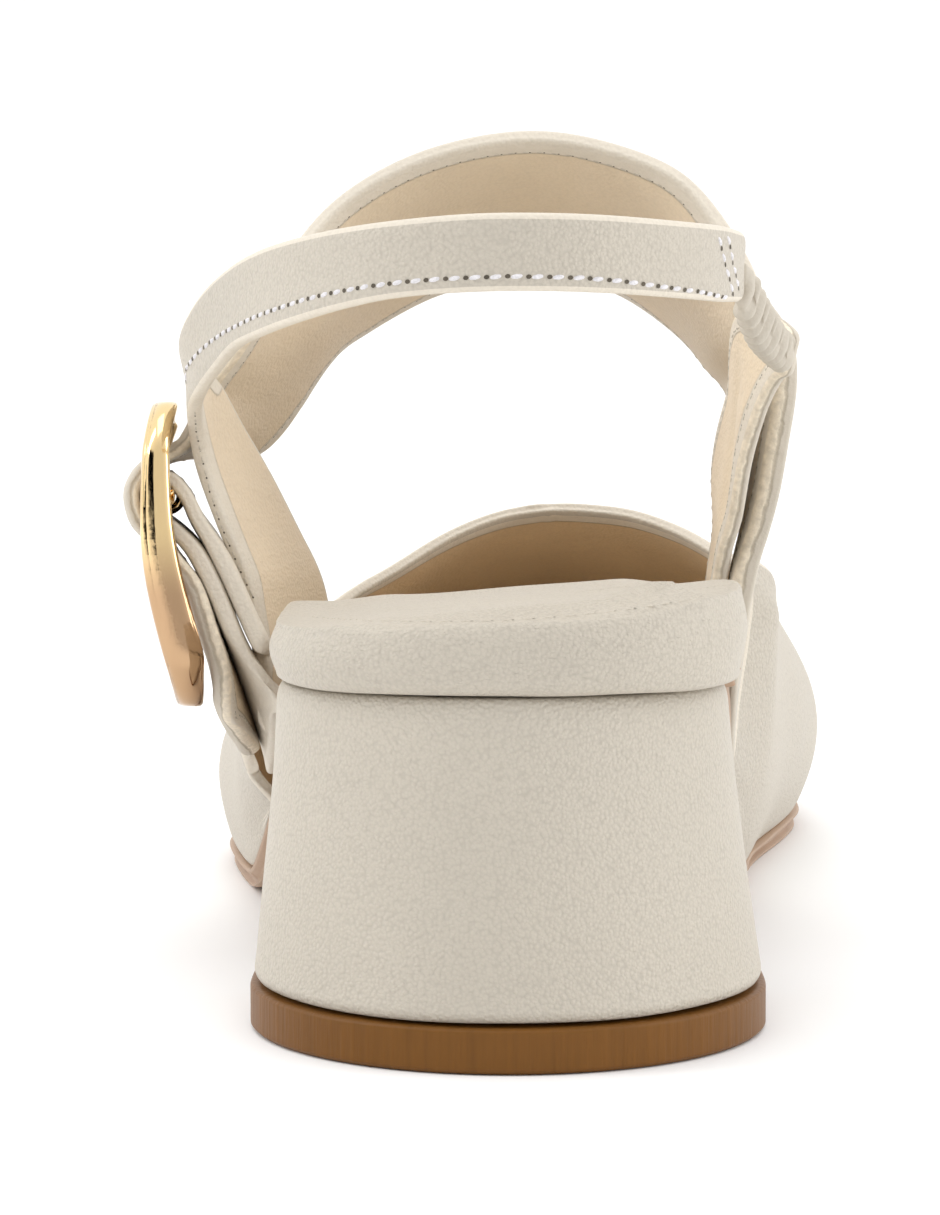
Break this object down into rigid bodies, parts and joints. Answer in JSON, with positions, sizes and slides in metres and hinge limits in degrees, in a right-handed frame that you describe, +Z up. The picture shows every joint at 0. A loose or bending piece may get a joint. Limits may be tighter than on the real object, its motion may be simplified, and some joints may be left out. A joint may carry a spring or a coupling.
{
  "type": "block heel slingback shoe",
  "caption": "Closed-toe slingback shoe on a flared block heel, with a padded footbed rim and a wide instep strap through a gold buckle.",
  "frame": {"origin": "on the floor under the middle of the heel's tread", "axes": "+Y from the heel towards the toe, +X to the inner (medial) side of the foot, +Z up"},
  "size_m": [0.0984, 0.2416, 0.1096],
  "materials": {
    "upper_leather": "cream, fine pebbled grain",
    "lining_leather": "tan lining leather",
    "elastic_fabric": "gathered cream cover over elastic",
    "sole_leather": "smooth tan",
    "top_piece": "brown, fine upright brush lines",
    "buckle_gold": "polished gold plating"
  },
  "bodies": {
    "root": {"outsole": "sole_leather", "heel_block": "upper_leather", "heel_top_piece": "top_piece", "footbed": "upper_leather", "vamp": "upper_leather", "sling_strap": "upper_leather", "sling_elastic": "elastic_fabric", "medial_quarter": "upper_leather", "instep_strap": "upper_leather", "buckle_chape": "lining_leather", "buckle_frame": "buckle_gold", "buckle_prong": "buckle_gold"}
  },
  "joints": []
}
